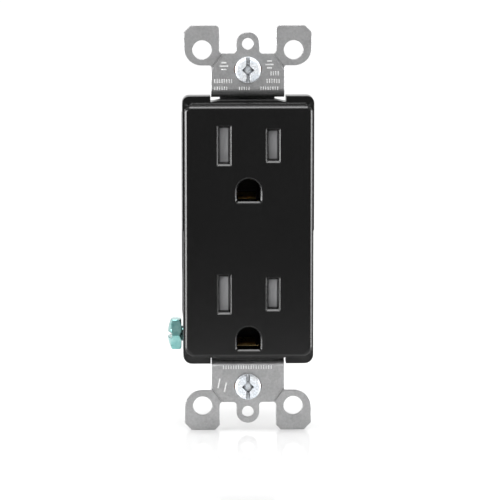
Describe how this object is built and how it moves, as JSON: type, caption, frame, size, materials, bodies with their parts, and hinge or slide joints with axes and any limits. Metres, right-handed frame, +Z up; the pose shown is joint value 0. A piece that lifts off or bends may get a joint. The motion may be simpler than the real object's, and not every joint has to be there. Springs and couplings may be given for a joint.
{
  "type": "duplex wall outlet",
  "caption": "Black duplex wall outlet with a rectangular face, shuttered sockets, an eared steel strap, side terminals and push-in wire holes.",
  "frame": {"origin": "middle of the mounting strap on its back plane, midway between the wallplate screw holes", "axes": "+X to the right and +Z up for someone facing the outlet, -Y out of the face, +Y into the wall"},
  "size_m": [0.038, 0.0313, 0.1064],
  "materials": {
    "black_plastic": "satin moulded thermoplastic",
    "housing_plastic": "matt moulded thermoplastic",
    "galvanised_steel": "galvanised, slightly spangled",
    "zinc_plate": "bright zinc plate with a faint blue tint",
    "green_plate": "green dyed zinc plate",
    "brass": "plain rolled brass",
    "brass_plate": "brass plated steel",
    "nickel_plate": "nickel plated steel",
    "grey_plastic": "grey moulded acetal",
    "fibre": "pressed fibre board",
    "spring_steel": "spring steel"
  },
  "bodies": {
    "housing": {"front_cover": "black_plastic", "back_body": "housing_plastic", "mounting_strap": "galvanised_steel", "ground_contact_strip": "brass", "ground_rivets": "brass", "hot_contact_bar": "brass", "neutral_contact_bar": "brass", "assembly_screws": "zinc_plate", "shutter_tray_upper": "housing_plastic", "shutter_spring_upper": "spring_steel", "hot_wire_clamp_upper": "spring_steel", "neutral_wire_clamp_upper": "spring_steel", "shutter_tray_lower": "housing_plastic", "shutter_spring_lower": "spring_steel", "hot_wire_clamp_lower": "spring_steel", "neutral_wire_clamp_lower": "spring_steel"},
    "shutter_upper": {"shutter_slider_upper": "grey_plastic"},
    "shutter_lower": {"shutter_slider_lower": "grey_plastic"},
    "retainer_upper": {"screw_retainer_upper": "fibre"},
    "mounting_screw_upper": {"mounting_screw_upper": "zinc_plate"},
    "retainer_lower": {"screw_retainer_lower": "fibre"},
    "mounting_screw_lower": {"mounting_screw_lower": "zinc_plate"},
    "hot_terminal_screw_upper": {"hot_terminal_screw_upper": "brass_plate"},
    "neutral_terminal_screw_upper": {"neutral_terminal_screw_upper": "nickel_plate"},
    "hot_terminal_screw_lower": {"hot_terminal_screw_lower": "brass_plate"},
    "neutral_terminal_screw_lower": {"neutral_terminal_screw_lower": "nickel_plate"},
    "ground_terminal_screw": {"ground_terminal_screw": "green_plate"}
  },
  "joints": [
    {"name": "shutter_upper_slide", "type": "slide", "parent": "housing", "child": "shutter_upper", "axis": [1, 0, 0], "range_m": [0, 0.0026], "stiffness_N_per_m": 250, "springref_m": -0.003, "deforming": ["shutter_spring_upper"]},
    {"name": "shutter_lower_slide", "type": "slide", "parent": "housing", "child": "shutter_lower", "axis": [1, 0, 0], "range_m": [0, 0.0026], "stiffness_N_per_m": 250, "springref_m": -0.003, "deforming": ["shutter_spring_lower"]},
    {"name": "retainer_upper_slide", "type": "slide", "parent": "housing", "child": "retainer_upper", "axis": [0, -1, 0], "range_m": [0, 0.0014]},
    {"name": "mounting_screw_upper_turn", "type": "hinge", "parent": "retainer_upper", "child": "mounting_screw_upper", "pos_m": [0, 0, 0.04167], "axis": [0, -1, 0], "continuous": true},
    {"name": "retainer_lower_slide", "type": "slide", "parent": "housing", "child": "retainer_lower", "axis": [0, -1, 0], "range_m": [0, 0.0014]},
    {"name": "mounting_screw_lower_turn", "type": "hinge", "parent": "retainer_lower", "child": "mounting_screw_lower", "pos_m": [0, 0, -0.04167], "axis": [0, -1, 0], "continuous": true},
    {"name": "hot_terminal_screw_upper_turn", "type": "hinge", "parent": "housing", "child": "hot_terminal_screw_upper", "pos_m": [0.014, 0.012, 0.0135], "axis": [1, 0, 0], "range_deg": [-900, 0]},
    {"name": "neutral_terminal_screw_upper_turn", "type": "hinge", "parent": "housing", "child": "neutral_terminal_screw_upper", "pos_m": [-0.014, 0.012, 0.0135], "axis": [-1, 0, 0], "range_deg": [-900, 0]},
    {"name": "hot_terminal_screw_lower_turn", "type": "hinge", "parent": "housing", "child": "hot_terminal_screw_lower", "pos_m": [0.014, 0.012, -0.00751], "axis": [1, 0, 0], "range_deg": [-900, 0]},
    {"name": "neutral_terminal_screw_lower_turn", "type": "hinge", "parent": "housing", "child": "neutral_terminal_screw_lower", "pos_m": [-0.014, 0.012, -0.00751], "axis": [-1, 0, 0], "range_deg": [-900, 0]},
    {"name": "ground_terminal_screw_turn", "type": "hinge", "parent": "housing", "child": "ground_terminal_screw", "pos_m": [-0.0173, 0.0085, -0.029], "axis": [-1, 0, 0], "range_deg": [-720, 0]}
  ]
}
